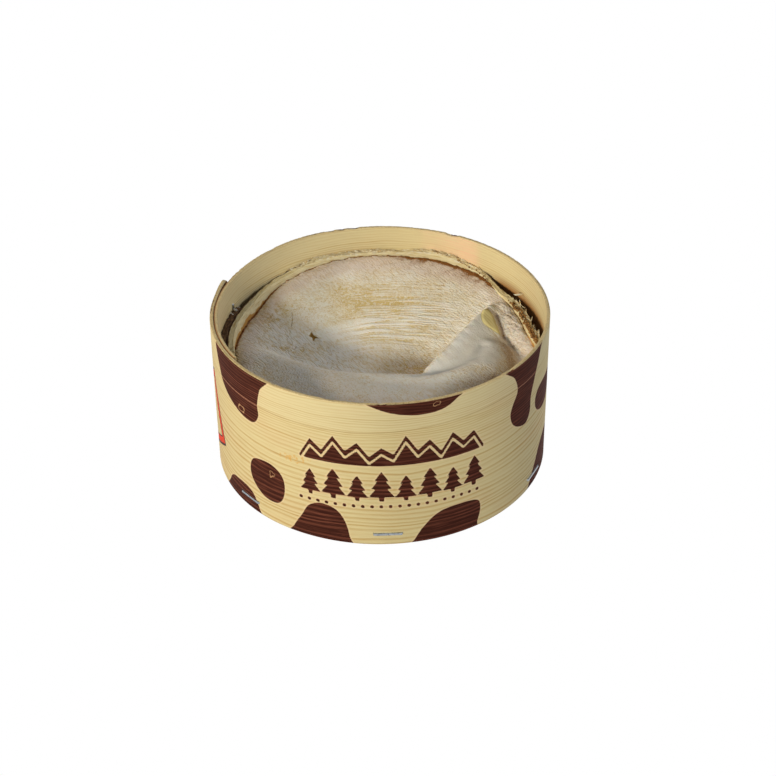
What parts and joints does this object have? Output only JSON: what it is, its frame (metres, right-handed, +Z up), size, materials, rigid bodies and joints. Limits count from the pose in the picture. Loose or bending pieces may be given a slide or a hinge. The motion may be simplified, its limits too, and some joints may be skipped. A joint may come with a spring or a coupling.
{
  "type": "vacherin cheese in a round wooden box",
  "caption": "Soft washed-rind cheese with a folded, wrinkled skin, girdled with bark and held in a round open spruce box with a stapled lap and brown patches.",
  "frame": {"origin": "centre of the box on the surface it stands on", "axes": "+Z up out of the open box, +X to the right and +Y to the back, with the folded roll of the skin at the front and the box's lap at the left"},
  "size_m": [0.1298, 0.1316, 0.063],
  "materials": {
    "spruce_veneer": "rolled raw spruce veneer with brown printed patches",
    "spruce_board": "sawn raw spruce",
    "spruce_bark": "damp inner bark, fibrous, with white mould",
    "cheese_rind": "matt wrinkled rind with white bloom and ochre valleys",
    "staple_wire": "galvanized flat wire"
  },
  "bodies": {
    "root": {"hoop": "spruce_veneer", "bottom": "spruce_board", "bark_girdle": "spruce_bark", "cheese": "cheese_rind", "foot_staple_1": "staple_wire", "foot_staple_2": "staple_wire", "foot_staple_3": "staple_wire", "foot_staple_4": "staple_wire", "foot_staple_5": "staple_wire", "foot_staple_6": "staple_wire", "lap_staple_1": "staple_wire", "lap_staple_2": "staple_wire"}
  },
  "joints": []
}
